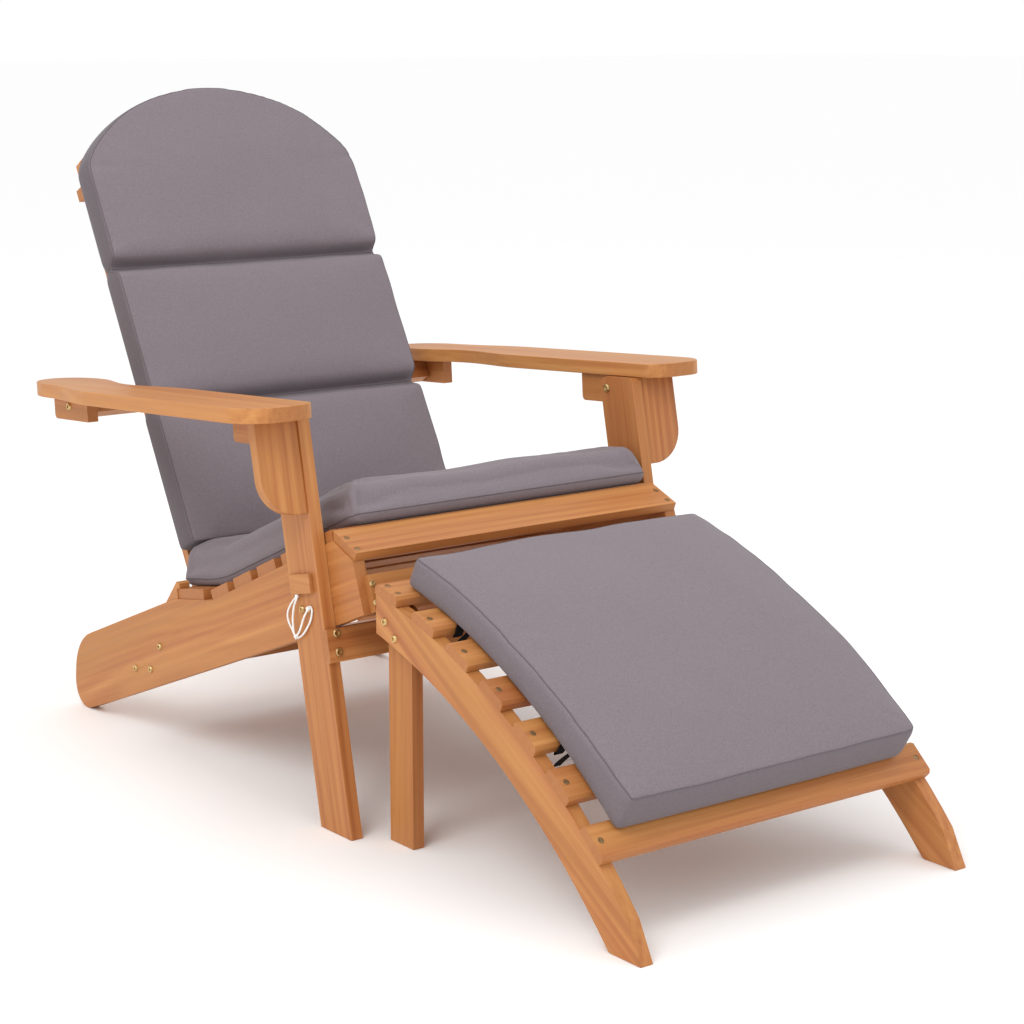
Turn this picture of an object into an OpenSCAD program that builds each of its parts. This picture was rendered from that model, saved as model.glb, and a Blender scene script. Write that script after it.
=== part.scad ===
// Folding adirondack chair in hardwood, with its cushions and its free-standing footrest.
// X runs across the chair, -Y is its front and Z is up. Every part is placed in the side view
// whose y = 0 is the front edge of the front feet, and in_place() then moves it to the origin.

/* [Seat frame] */
// Distance between the inner faces of the two seat rails
rail_gap = 513; // [505:1:517]
// Thickness of the rail, leg and arm block boards
board_t = 18; // [15:0.5:18]
// Thickness of the seat slats
slat_t = 15; // [12:0.5:16]

/* [Front legs] */
// Backward lean of the front legs from upright
leg_lean = 11.88; // [11:0.1:12.5]
// Width of a front leg along the floor
leg_w = 73; // [66:1:76]

/* [Arms] */
// Fall of the arms to the rear
arm_fall = 3.78; // [3.5:0.1:4]
// Thickness of the arm boards
arm_t = 20; // [16:0.5:24]

/* [Back] */
// Recline of the back from upright
back_lean = 28.2; // [27.5:0.1:28.5]
// Thickness of the back slats
back_slat_t = 14.5; // [12:0.5:14.5]
// Number of back slats
back_slats = 5; // [5:2:7]

/* [Cushions] */
// Thickness of the back cushion
back_pad_t = 42; // [25:1:44]
// Thickness of the footrest cushion
foot_pad_t = 46; // [30:1:50]

/* [Footrest] */
// Radius of the arched upper edge of the footrest rails
arch_r = 899; // [895:1:903]
// Number of footrest slats
foot_slats = 7; // [6:1:7]

/* [Hidden] */
$fn = 48;

// Side view: where the middle of the footprint lies behind the front edge of the front feet
middle_y = 164.74;
rail_in = rail_gap / 2;
rail_out = rail_in + board_t;
leg_out = rail_out + board_t;
play = 0.4;

// Side view points of the seat rail
rail_nose_low = [-9, 303.5];
rail_nose_top = [16.4, 370.2];
rail_crest = [62.6, 388.4];
rail_bend = [377, 248];
rail_step = [486, 229];
rail_belly = [159.5, 233];
foot_low_c = [772, 36];
foot_high_c = [726.7, 48];
seat_slope = atan((rail_crest[1] - rail_bend[1]) / (rail_bend[0] - rail_crest[0]));
nose_slope = atan((rail_crest[1] - rail_nose_top[1]) / (rail_crest[0] - rail_nose_top[0]));
step_slope = atan((rail_bend[1] - rail_step[1]) / (rail_step[0] - rail_bend[0]));
nose_cut = atan((rail_nose_top[0] - rail_nose_low[0]) / (rail_nose_top[1] - rail_nose_low[1]));

// Pivots of the folding linkage, in the side view
leg_pivot = [109, 290.5];
arm_pivot = [169, 526];
arm_under = 17.5;
arm_len = 519;
rear_pivot = arm_pivot + arm_len * [cos(arm_fall), -sin(arm_fall)];
back_pivot = [512, 201];
stretcher_t = 13.5;
stretcher_proud = 4.8;
stretcher_low = 234.5;
stretcher_h = 44.5;

// Back: "up" runs along the slats and "out" points forward from them
back_up = [sin(back_lean), cos(back_lean)];
back_out = [-cos(back_lean), sin(back_lean)];
back_face = [706, 684];
slat_face = back_face - 31 * back_out;
back_half_w = 227;
pad_half_w = 240;
pad_up_low = -438;

// Footrest: centre of the arch in the side view
arch_c = [143, -547];
foot_rail_out = 270;
foot_rail_t = 18.6;
// Angle of slat i on the arch; the last one stands a little apart
function foot_slat_angle(i) = first_slat_angle + foot_pitch * i + (i > 0 ? 0.4 : 0) + (i == foot_slats - 1 ? 0.4 : 0);
foot_slat_t = 14;
foot_slat_w = 48;
foot_pitch = 4.85;
first_slat_angle = 102.55;
foot_leg_out = 248.4;
foot_leg_t = 17;

screw_d = 4;
screw_head_d = 8;
bolt_d = 6;
bolt_head_d = 11;
pivot_d = 8;

honey = "burlywood";
cloth = "rosybrown";
brass = "goldenrod";

// ---- helpers ----

// Points of an arc from angle a0 to angle a1
function arc(c, r, a0, a1, n) = [for (i = [0:n]) c + r * [cos(a0 + (a1 - a0) * i / n), sin(a0 + (a1 - a0) * i / n)]];
// Smooth blend from 0 to 1
function ease(t) = (1 - cos(180 * t)) / 2;

module in_place() {
    translate([0, -middle_y, 0]) children();
}

// The right-hand side is -X; shapes are drawn for +X and mirrored
module on_side(side) {
    mirror([side < 0 ? 1 : 0, 0, 0]) in_place() children();
}

// A board whose outline is drawn in the side view (y, z)
module side_board(x0, thickness) {
    translate([x0, 0, 0]) rotate([90, 0, 90]) linear_extrude(thickness) children();
}

// Local frame at a side-view point, its y axis turned up by "turn" degrees
module at_side(p, turn) {
    translate([0, p[0], p[1]]) rotate([turn, 0, 0]) children();
}

// A cylinder along +X from x0
module cross_rod(x0, len, d) {
    translate([x0, 0, 0]) rotate([0, 90, 0]) cylinder(d = d, h = len);
}

// A bolt along +X with a low domed socket head outside its starting face
module bolt(x0, len, d, head_d) {
    cross_rod(x0 - 0.1, len, d);
    translate([x0 - 3, 0, 0]) rotate([0, 90, 0]) difference() {
        cylinder(d1 = head_d * 0.76, d2 = head_d, h = 3);
        translate([0, 0, -1]) cylinder(d = head_d * 0.46, h = 2.6, $fn = 6);
    }
}

// A screw down the local -Z axis, its head sunk just below z = 0
module screw(len) {
    translate([0, 0, -2.2]) cylinder(d = screw_head_d, h = 1.7);
    translate([0, 0, -len]) cylinder(d = screw_d, h = len - 2.1);
}

module screw_hole(len) {
    translate([0, 0, -2.2]) cylinder(d = screw_head_d + 0.4, h = 3);
    translate([0, 0, -len - 1]) cylinder(d = screw_d + 0.4, h = len);
}

// ---- seat frame ----

// Seat slats on the straight part of the rail: start along the slope and width of each
seat_slat_starts = [1, 88, 157.5, 227, 296.5];
seat_slat_widths = [68, 50, 50, 50, 48.5];
rear_slat_start = 26.4;
rear_slat_w = 73;
front_slat_w = 51;
// The front slat's rear edge leans over to meet the second slat
front_slat_mitre = 5.5;
slat_half_l = 272.6;
slat_screw_x = 264;

module rail_outline() {
    polygon(concat([rail_nose_low, rail_nose_top, rail_crest, rail_bend, rail_step],
        arc(foot_high_c, 80, 68.5, 5, 10), arc(foot_low_c, 36, 5, -111, 10), [rail_belly]));
}

// Children are drawn at each seat slat screw, z up out of the slat
module at_seat_screws(rows) {
    for (i = rows) {
        y0 = seat_slat_starts[i];
        w = seat_slat_widths[i];
        for (f = w > 60 ? [0.25, 0.75] : [0.5]) {
            at_side(rail_crest, -seat_slope) translate([0, y0 + w * f, slat_t]) children();
        }
    }
}

module at_rear_slat_screws() {
    for (f = [0.25, 0.75]) {
        at_side(rail_bend, -step_slope) translate([0, rear_slat_start + rear_slat_w * f, slat_t]) children();
    }
}

module at_front_slat_screws() {
    for (f = [0.2, 0.72]) {
        at_side(rail_nose_top, nose_slope) translate([0, front_slat_w * f - 1.5, slat_t - 3]) children();
    }
}

// Every seat slat screw of one side
module all_seat_screws() {
    translate([slat_screw_x, 0, 0]) {
        at_seat_screws([0:4]) children();
        at_rear_slat_screws() children();
        at_front_slat_screws() children();
    }
}

module at_frame_bolts() {
    for (p = [[562, 107], [609, 98.6], [533, 148]]) {
        translate([0, p[0], p[1]]) children();
    }
}

module at_apron_bolts() {
    for (down = [34, 59]) {
        translate([260, 0, 0]) at_side(rail_nose_top, -nose_cut) translate([0, -12, -down]) children();
    }
}

module seat_rail(side) {
    color(honey) on_side(side) difference() {
        side_board(rail_in, board_t) rail_outline();
        all_seat_screws() screw_hole(32);
        at_side(leg_pivot, 0) cross_rod(rail_in - 1, board_t + 2, pivot_d + 2 * play);
        at_side(back_pivot, 0) cross_rod(rail_in - 1, 14, pivot_d + 2 * play);
        at_side(peg_p, 0) cross_rod(rail_out - 12, 13, peg_d + 2 * play);
        at_frame_bolts() cross_rod(rail_in - 1, board_t + 2, bolt_d + play);
        at_apron_bolts() rotate([-90, 0, 0]) cylinder(d = bolt_d + play, h = 50);
    }
}

module front_apron() {
    color(honey) in_place() difference() {
        at_side(rail_nose_top, -nose_cut) translate([-263.5, -12, -71]) cube([527, 12, 49]);
        both_sides() at_apron_bolts() rotate([-90, 0, 0])
            translate([0, 0, -1]) cylinder(d = bolt_d + play, h = 20);
    }
}

// Bar and flat board between the rails, behind the back's hinge
module rear_stretchers() {
    color(honey) in_place() difference() {
        union() {
            at_side([585.5, 102.8], -10.1) translate([-rail_in, -36, -9]) cube([rail_gap, 72, 18]);
            at_side([533, 148], -21.5) translate([-rail_in, -16, -9]) cube([rail_gap, 32, 18]);
        }
        both_sides() at_frame_bolts() cross_rod(rail_in - 45, 46, bolt_d + play);
    }
}

module seat_slat_board(rows) {
    for (i = rows) {
        at_side(rail_crest, -seat_slope)
            translate([-slat_half_l, seat_slat_starts[i], 0]) cube([2 * slat_half_l, seat_slat_widths[i], slat_t]);
    }
}

module both_sides() {
    for (side = [0, 1]) {
        mirror([side, 0, 0]) children();
    }
}

module front_seat_slat() {
    color(honey) in_place() difference() {
        at_side(rail_nose_top, nose_slope)
            translate([-slat_half_l, -1.5, 0]) rotate([90, 0, 90]) linear_extrude(2 * slat_half_l)
                polygon([[0, 0], [front_slat_w, 0], [front_slat_w + front_slat_mitre, slat_t - 3], [0, slat_t - 3]]);
        both_sides() translate([slat_screw_x, 0, 0]) at_front_slat_screws() screw_hole(32);
    }
}

module second_seat_slat() {
    color(honey) in_place() difference() {
        seat_slat_board([0]);
        both_sides() translate([slat_screw_x, 0, 0]) at_seat_screws([0]) screw_hole(32);
    }
}

module middle_seat_slats() {
    color(honey) in_place() difference() {
        seat_slat_board([1:4]);
        both_sides() translate([slat_screw_x, 0, 0]) at_seat_screws([1:4]) screw_hole(32);
    }
}

module rear_seat_slat() {
    color(honey) in_place() difference() {
        at_side(rail_bend, -step_slope)
            translate([-slat_half_l, rear_slat_start, 0]) cube([2 * slat_half_l, rear_slat_w, slat_t]);
        both_sides() translate([slat_screw_x, 0, 0]) at_rear_slat_screws() screw_hole(32);
    }
}

// Wedge on top of each rail behind the rear slat
module back_stop_blocks() {
    color(honey) in_place() both_sides()
        side_board(rail_in, board_t)
            polygon([[475.6, 230.82], [486, 229.01], [512, 218.75], [479, 256.4], [471, 254.6],
                [470.5, 247], [477.9, 245.75]]);
}

module seat_slat_screws() {
    color(brass) in_place() both_sides() all_seat_screws() screw(30);
}

module seat_frame_bolts() {
    color(brass) in_place() both_sides() {
        at_frame_bolts() mirror([1, 0, 0]) bolt(-rail_out, 40, bolt_d, bolt_head_d);
        at_apron_bolts() rotate([0, 0, 90]) bolt(0, 45, bolt_d, bolt_head_d - 2);
    }
}

// ---- front legs, turning on the seat rails ----

leg_turn = -leg_lean;

// Local frame of a leg: z along it, y = 0 at its front edge
module leg_frame() {
    at_side([0, 0], leg_turn) children();
}

leg_top = arm_pivot + 16.8 * [sin(arm_fall), cos(arm_fall)];
leg_top_front_y = 116.5;

module leg_outline() {
    polygon(concat([[0, 0], [leg_w, 0]],
        arc(arm_pivot, 16.8, 19, 90 - arm_fall, 8),
        [[leg_top_front_y, leg_top[1] + (leg_top[0] - leg_top_front_y) * tan(arm_fall)],
         [leg_top_front_y - 3, leg_top[1] + (leg_top[0] - leg_top_front_y) * tan(arm_fall) - 5]]));
}

module at_stretcher_bolts() {
    for (z = [247.3, 272.5]) {
        leg_frame() translate([277.5, -stretcher_proud, z]) children();
    }
}

module front_leg(side) {
    color(honey) on_side(side) difference() {
        side_board(rail_out + play, board_t - play) leg_outline();
        leg_frame() translate([0, -5, stretcher_low]) cube([400, stretcher_t - stretcher_proud + 5, stretcher_h]);
        at_stretcher_bolts() rotate([-90, 0, 0]) translate([0, 0, -1]) cylinder(d = bolt_d + play, h = 60);
        at_side(leg_pivot, 0) cross_rod(rail_out - 1, board_t + 2, pivot_d + 2 * play);
        at_side(arm_pivot, 0) cross_rod(rail_out - 1, board_t + 2, pivot_d + 2 * play);
        at_side(cord_eye, 0) cross_rod(leg_out - 11, 12, 3 + play);
        at_side(peg_p, 0) cross_rod(rail_out - 1, board_t + 2, peg_d + 2 * play);
    }
}

module leg_stretcher() {
    color(honey) in_place() difference() {
        leg_frame() translate([-leg_out, -stretcher_proud, stretcher_low]) cube([2 * leg_out, stretcher_t, stretcher_h]);
        both_sides() at_stretcher_bolts() rotate([-90, 0, 0])
            translate([0, 0, -1]) cylinder(d = bolt_d + play, h = 60);
    }
}

module stretcher_bolts() {
    color(brass) in_place() both_sides() at_stretcher_bolts() rotate([0, 0, 90]) bolt(0, 50, bolt_d, 13);
}

module leg_pivot_bolts() {
    color(brass) in_place() both_sides() at_side(leg_pivot, 0)
        mirror([1, 0, 0]) bolt(-leg_out, 2 * board_t + 3, pivot_d, 11);
}

// Small round-headed screws that the peg cords loop around
cord_eye = [88, 294];

module cord_eye_screws() {
    color(brass) in_place() both_sides() at_side(cord_eye, 0) {
        cross_rod(leg_out - 10, 13.8, 3);
        cross_rod(leg_out + 3.7, 1.2, 6);
    }
}

// Round-cornered board under the arm, on the outer face of the leg
bracket_w = 63.5;
bracket_low = 432.5;
bracket_r = 50;
bracket_set_back = 3;

module arm_bracket(side) {
    color(honey) on_side(side) difference() {
        leg_frame() translate([leg_out, bracket_set_back + board_t, 0]) rotate([90, 0, 0])
            linear_extrude(board_t) polygon(concat([[0, bracket_low], [0, 600], [bracket_w, 600]],
                arc([bracket_w - bracket_r, bracket_low + bracket_r], bracket_r, 0, -90, 12)));
        at_side(arm_pivot, -arm_fall) translate([0, -200, arm_under - 0.5]) cube([500, 400, 100]);
    }
}

// ---- arms, turning on the legs ----

// Local frame of the arms: origin on the pivot, y along the arm, z square to it
module arm_frame() {
    at_side(arm_pivot, -arm_fall) children();
}

arm_front = -100;
arm_straight_end = 232;
arm_waist = 382;
arm_heel = 506;
arm_tip = 588;
arm_in = 285;
arm_outer = 392;
arm_in_waist = 302;
arm_in_heel = 279;
arm_outer_heel = 371;
heel_c = (arm_in_heel + arm_outer_heel) / 2;
heel_r = (arm_outer_heel - arm_in_heel) / 2;

// Plan of the arm: a rounded front, a waist on the inner edge and a round rear end
module arm_plan() {
    polygon(concat(
        [for (i = [0:7]) [arm_in + 40 * (1 - cos(90 * i / 7)), arm_front + 26 * (1 - sin(90 * i / 7))]],
        [for (i = [0:10]) [arm_outer + 44 * (sin(90 * i / 10) - 1), arm_front + 64 * (1 - cos(90 * i / 10))]],
        [for (i = [0:7]) [arm_outer + (arm_outer_heel - arm_outer) * ease(i / 8),
            arm_straight_end + 100 + (arm_heel - arm_straight_end - 100) * i / 8]],
        [for (i = [0:16]) [heel_c + heel_r * cos(180 * i / 16), arm_heel + (arm_tip - arm_heel) * sin(180 * i / 16)]],
        [for (i = [1:7]) [arm_in_heel + (arm_in_waist - arm_in_heel) * ease(i / 8),
            arm_heel + (arm_waist - arm_heel) * i / 8]],
        [for (i = [0:8]) [arm_in_waist + (arm_in - arm_in_waist) * ease(i / 8),
            arm_waist + (arm_straight_end - arm_waist) * i / 8]]));
}

module arm(side) {
    color(honey) on_side(side) arm_frame() translate([0, 0, arm_under]) linear_extrude(arm_t) arm_plan();
}

block_h = 38;
block_l = 105;
front_block_x = leg_out + play;
rear_block_x = 312 + play;

module block_outline(l, h) {
    polygon([[0, 0], [l - 6, 0], [l - 1.8, 1.8], [l, 6], [l, h], [0, h]]);
}

module arm_front_block(side) {
    color(honey) on_side(side) arm_frame() difference() {
        translate([0, -28, arm_under - block_h - 3]) side_board(front_block_x, board_t - 1) block_outline(block_l + 3, 41);
        cross_rod(front_block_x - 1, board_t + 2, pivot_d + play);
    }
}

module arm_rear_block(side) {
    color(honey) on_side(side) arm_frame() difference() {
        translate([0, arm_len - 57, arm_under - block_h]) side_board(rear_block_x, board_t - 1) block_outline(block_l, block_h);
        translate([0, arm_len, 0]) cross_rod(rear_block_x - 1, board_t + 2, pivot_d + play);
    }
}

// One bolt joins leg and arm, the other enters the end of the arm cross rail
module arm_bolts(side) {
    color(brass) on_side(side) arm_frame() {
        bolt(rail_out, 2 * board_t - 1, pivot_d, 13);
        translate([0, arm_len, 0]) mirror([1, 0, 0]) bolt(-rear_block_x - board_t + 1, board_t + 22, pivot_d, 12);
    }
}

// ---- back, turning on the seat rails ----

// Local frame of the back: y backward from the slats' front face, z up along it, 0 at the upper seam
module back_frame() {
    at_side(slat_face, -back_lean) children();
}

slat_low = -536;
back_gap = 12.5;
back_slat_w = (2 * back_half_w - (back_slats - 1) * back_gap) / back_slats;
// Height of the arched top at distance x from the middle
function arch_top(x, half_w, shoulder, rise) = shoulder + rise * sqrt(max(0, 1 - pow(x / half_w, 2)));

module back_slat(i) {
    x0 = -back_half_w + (i - 1) * (back_slat_w + back_gap);
    color(honey) in_place() difference() {
        back_frame() translate([0, back_slat_t, 0]) rotate([90, 0, 0]) linear_extrude(back_slat_t)
            polygon(concat([[x0 + back_slat_w, slat_low], [x0, slat_low]],
                [for (k = [0:10]) let (x = x0 + back_slat_w * k / 10) [x, arch_top(x, 330, -50, 336)]]));
        at_back_screws([i]) screw_hole(26);
    }
}

// Children are drawn at the screws of back slats i, z pointing forward out of the slat
module at_back_screws(slats) {
    for (i = slats, z = [top_rail_z, cross_rail_z, lower_rail_z]) {
        back_frame() translate([-back_half_w + back_slat_w / 2 + (i - 1) * (back_slat_w + back_gap), 0, z])
            rotate([90, 0, 0]) children();
    }
}

top_rail_z = 157;
cross_rail_z = -208;
lower_rail_z = -517;
cross_rail_h = 29;
cross_rail_d = 24;

module top_back_rail() {
    color(honey) in_place() difference() {
        back_frame() translate([-221, back_slat_t, top_rail_z - 9]) cube([442, 30, 18]);
        at_back_screws([1:back_slats]) screw_hole(26);
    }
}

// Flat spacer between the slats and the arm cross rail
module back_spacer_rail() {
    color(honey) in_place() difference() {
        back_frame() translate([-216, back_slat_t, cross_rail_z - 22]) cube([432, 12, 44]);
        at_back_screws([1:back_slats]) screw_hole(26);
    }
}

// Its ends carry the arms' rear pivots in wide sockets: the linkage is open there
module arm_cross_rail() {
    color(honey) in_place() difference() {
        at_side(rear_pivot, -back_lean) translate([-312, -cross_rail_d / 2, -17])
            cube([624, cross_rail_d, cross_rail_h]);
        both_sides() at_side(rear_pivot, 0) cross_rod(288, 30, open_socket_d);
        at_back_screws([1:back_slats]) screw_hole(26);
    }
}

open_socket_d = 20;

module lower_back_rail() {
    color(honey) in_place() difference() {
        back_frame() translate([-rail_in + 0.8, back_slat_t, lower_rail_z - 26]) cube([rail_gap - 1.6, 22, 52]);
        at_back_screws([1:back_slats]) screw_hole(26);
        both_sides() at_side(back_pivot, 0) cross_rod(rail_in - 45, 46, pivot_d + play);
    }
}

module back_slat_screws() {
    color(brass) in_place() at_back_screws([1:back_slats]) screw(26);
}

// Dowel pins from the lower rail's ends into the seat rails' inner faces
module back_hinge_pins() {
    color(brass) in_place() both_sides() at_side(back_pivot, 0) cross_rod(rail_in - 38, 50, pivot_d);
}

// ---- lock pegs and their cords ----

peg_p = [107.5, 325.7];
peg_d = 12;
peg_head = [6, 50, 26.5];

module lock_peg(side) {
    color("peru") on_side(side) at_side(peg_p, -leg_lean) {
        translate([leg_out, -peg_head[1] / 2, -peg_head[2] / 2]) cube(peg_head);
        cross_rod(rail_out + 1, board_t, peg_d);
    }
}

// The cord hangs from the peg's lower edge, loops round its eye screw and returns
cord_d = 2.5;
cord_route = [[295.6, 118, 308.2], [295.8, 121, 304.5], [296.6, 129, 296.5], [297.4, 136.5, 286],
    [297.8, 138.6, 277.3], [297.8, 135.5, 268.5], [297.4, 128.6, 260.5], [296.8, 118.5, 250.6],
    [296, 106, 256.5], [295.4, 95.3, 267.5], [294.9, 87.4, 279], [294.6, 84.4, 287.5], [294.5, 83.8, 295],
    [294.6, 87.5, 298.4], [294.8, 92.2, 296], [295.6, 95, 290.5], [297.5, 99.6, 281], [299.2, 104.5, 267],
    [300, 111, 257], [300.2, 116.5, 254.5], [300.2, 120, 259], [300.2, 122, 278], [299.2, 120, 293],
    [298.2, 115.5, 303.5], [297.9, 113.5, 308.8]];

// Catmull-Rom point between p1 and p2
function curve_point(p0, p1, p2, p3, t) = 0.5 * (2 * p1 + (p2 - p0) * t
    + (2 * p0 - 5 * p1 + 4 * p2 - p3) * t * t + (3 * p1 - p0 - 3 * p2 + p3) * t * t * t);
function smooth(route, n) = let (last = len(route) - 1)
    concat([for (i = [0:last - 1], k = [0:n - 1]) curve_point(route[max(i - 1, 0)], route[i], route[i + 1],
        route[min(i + 2, last)], k / n)], [route[last]]);
function unit(v) = v / norm(v);

// Closed tube of "sides" flats around a route
module tube(route, d, sides) {
    n = len(route);
    function along(i) = unit(route[min(i + 1, n - 1)] - route[max(i - 1, 0)]);
    function side_dir(i) = unit([1, 0, 0] - ([1, 0, 0] * along(i)) * along(i));
    rings = [for (i = [0:n - 1]) let (u = side_dir(i), v = cross(along(i), u))
        for (k = [0:sides - 1]) route[i] + d / 2 * (cos(360 * k / sides) * u + sin(360 * k / sides) * v)];
    faces = concat([[for (k = [0:sides - 1]) k]],
        [for (i = [0:n - 2], k = [0:sides - 1]) [i * sides + k, (i + 1) * sides + k,
            (i + 1) * sides + (k + 1) % sides, i * sides + (k + 1) % sides]],
        [[for (k = [sides - 1:-1:0]) (n - 1) * sides + k]]);
    polyhedron(rings, faces);
}

module peg_cord(side) {
    color("white") on_side(side) tube(smooth(cord_route, 2), cord_d, 8);
}

// ---- footrest ----

function on_arch(r, a) = arch_c + r * [cos(a), sin(a)];
foot_bolts = [[-50, 302], [-71.5, 284]];

module foot_rail_outline() {
    polygon(concat(arc(arch_c, arch_r, 101.1, 138.6, 20),
        [[-556, 0], [-503.5, 0]],
        arc([215, -653], 968, 137.5, 106.6, 18),
        [[-30, 283]]));
}

module at_foot_screws(rows) {
    for (i = rows) {
        a = foot_slat_angle(i);
        for (s = i == 0 ? [-12, 12] : [0]) {
            at_side(on_arch(arch_r + foot_slat_t, a), a - 90) translate([foot_rail_out - 9, s, 0]) children();
        }
    }
}

module at_foot_bolts() {
    for (p = foot_bolts) {
        translate([0, p[0], p[1]]) children();
    }
}

module footrest_rail(side) {
    color(honey) on_side(side) difference() {
        side_board(foot_rail_out - foot_rail_t, foot_rail_t) foot_rail_outline();
        at_foot_screws([0:foot_slats - 1]) screw_hole(30);
        at_foot_bolts() cross_rod(200, 100, bolt_d + play);
    }
}

// Upright rear leg on the inner face of the rail
module footrest_leg(side) {
    color(honey) on_side(side) difference() {
        side_board(foot_leg_out - foot_leg_t, foot_leg_t + 3)
            polygon([[-78, 0], [-26, 0], [-26, 318], [-40, 326], [-78, 313]]);
        at_foot_bolts() cross_rod(200, 100, bolt_d + play);
        translate([foot_leg_out, -90, -1]) cube([10, 80, 268]);
    }
}

// Cross board between the footrest's rear legs
module footrest_leg_bar() {
    color(honey) in_place() translate([-foot_leg_out + foot_leg_t, -70, 262]) cube([2 * (foot_leg_out - foot_leg_t), 16, 48]);
}

// A slat with bevelled upper edges, lying on the arch at angle a
module foot_slat(a) {
    at_side(on_arch(arch_r, a), a - 90) rotate([90, 0, 90]) translate([0, 0, -slat_half_l + 1.3])
        linear_extrude(2 * slat_half_l - 2.6) polygon([[-foot_slat_w / 2, 0.3], [foot_slat_w / 2, 0.3],
            [foot_slat_w / 2, foot_slat_t - 4], [foot_slat_w / 2 - 4, foot_slat_t],
            [4 - foot_slat_w / 2, foot_slat_t], [-foot_slat_w / 2, foot_slat_t - 4]]);
}

module foot_slat_row(rows) {
    color(honey) in_place() difference() {
        for (i = rows) {
            foot_slat(foot_slat_angle(i));
        }
        both_sides() at_foot_screws(rows) screw_hole(30);
    }
}

module footrest_screws() {
    color(brass) in_place() both_sides() at_foot_screws([0:foot_slats - 1]) screw(28);
}

module footrest_bolts() {
    color(brass) in_place() both_sides() at_foot_bolts()
        mirror([1, 0, 0]) bolt(-foot_rail_out, 36, bolt_d, bolt_head_d);
}

// ---- cushions ----

seat_pad_w = 508;

module seat_cushion() {
    color(cloth) in_place() side_board(-seat_pad_w / 2, seat_pad_w)
        polygon([[66, 404.5], [377, 265.6], [400, 260.2], [474, 247.4], [501.5, 242.6], [524.5, 283.5], [92, 463],
            [64, 460]]);
}

module back_cushion() {
    color(cloth) in_place() back_frame() translate([0, -0.5, 0]) rotate([90, 0, 0])
        linear_extrude(back_pad_t) polygon(concat([[pad_half_w, pad_up_low], [-pad_half_w, pad_up_low]],
            [for (k = [0:16]) let (x = pad_half_w * (k / 8 - 1)) [x, arch_top(x, 264, 82, 217)]]));
}

module footrest_cushion() {
    color(cloth) in_place() side_board(-238, 476)
        polygon(concat(arc(arch_c, arch_r + foot_slat_t + 0.5, 102.4, 132.4, 14),
            arc(arch_c, arch_r + foot_slat_t + foot_pad_t, 131.2, 103.2, 14)));
}

seat_rail(-1);  // seat_rail_right
seat_rail(1);  // seat_rail_left
front_apron();
rear_stretchers();
front_seat_slat();
second_seat_slat();
middle_seat_slats();
rear_seat_slat();
back_stop_blocks();
seat_slat_screws();
seat_frame_bolts();
front_leg(-1);  // front_leg_right
front_leg(1);  // front_leg_left
leg_stretcher();
stretcher_bolts();
leg_pivot_bolts();
cord_eye_screws();
arm_bracket(-1);  // arm_bracket_right
arm_bracket(1);  // arm_bracket_left
arm(-1);  // arm_right
arm_front_block(-1);  // arm_front_block_right
arm_rear_block(-1);  // arm_rear_block_right
arm_bolts(-1);  // arm_bolts_right
arm(1);  // arm_left
arm_front_block(1);  // arm_front_block_left
arm_rear_block(1);  // arm_rear_block_left
arm_bolts(1);  // arm_bolts_left
back_slat(1);  // back_slat_1
back_slat(2);  // back_slat_2
back_slat(3);  // back_slat_3
back_slat(4);  // back_slat_4
back_slat(5);  // back_slat_5
top_back_rail();
arm_cross_rail();
lower_back_rail();
back_spacer_rail();
back_slat_screws();
back_hinge_pins();
lock_peg(-1);  // lock_peg_right
lock_peg(1);  // lock_peg_left
peg_cord(-1);  // peg_cord_right
peg_cord(1);  // peg_cord_left
footrest_rail(-1);  // footrest_rail_right
footrest_rail(1);  // footrest_rail_left
footrest_leg(-1);  // footrest_leg_right
footrest_leg(1);  // footrest_leg_left
foot_slat_row([0]);  // footrest_rear_slat
foot_slat_row([1:foot_slats - 2]);  // footrest_middle_slats
foot_slat_row([foot_slats - 1]);  // footrest_front_slat
footrest_leg_bar();
footrest_screws();
footrest_bolts();
seat_cushion();
back_cushion();
footrest_cushion();
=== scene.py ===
"""Looks of a folding adirondack chair with cushions and a free-standing footrest.

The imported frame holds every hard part. This script gives those parts their materials and adds
the peg cords, the stuffed cushions and their ties. Lengths are in metres, in the frame's axes:
-Y is the front, +X the sitter's left, +Z up. "Side view" points are (y, z) with y measured from
the front edge of the front feet.
"""

import math

import bpy
import numpy as np
from mathutils import Matrix, Vector
from mathutils.bvhtree import BVHTree


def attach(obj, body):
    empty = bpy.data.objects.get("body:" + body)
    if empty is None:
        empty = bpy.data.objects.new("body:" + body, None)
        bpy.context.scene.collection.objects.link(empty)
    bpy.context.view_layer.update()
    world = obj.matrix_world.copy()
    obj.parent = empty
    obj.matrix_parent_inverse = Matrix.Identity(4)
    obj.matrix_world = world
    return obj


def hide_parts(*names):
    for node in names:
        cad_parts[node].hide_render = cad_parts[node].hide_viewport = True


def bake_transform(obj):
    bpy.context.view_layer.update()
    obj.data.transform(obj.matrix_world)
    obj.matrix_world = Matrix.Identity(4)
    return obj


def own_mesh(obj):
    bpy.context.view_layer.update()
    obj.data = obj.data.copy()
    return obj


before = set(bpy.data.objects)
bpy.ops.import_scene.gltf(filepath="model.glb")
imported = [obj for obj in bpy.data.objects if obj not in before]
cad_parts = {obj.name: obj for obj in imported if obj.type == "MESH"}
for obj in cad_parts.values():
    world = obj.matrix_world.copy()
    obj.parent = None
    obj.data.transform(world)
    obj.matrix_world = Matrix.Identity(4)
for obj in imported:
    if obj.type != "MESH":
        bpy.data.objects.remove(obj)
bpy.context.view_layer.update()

MM = 0.001
FEET_Y = -0.16474  # the front feet's front edge in the frame

# ---------------------------------------------------------------- side view geometry

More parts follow.
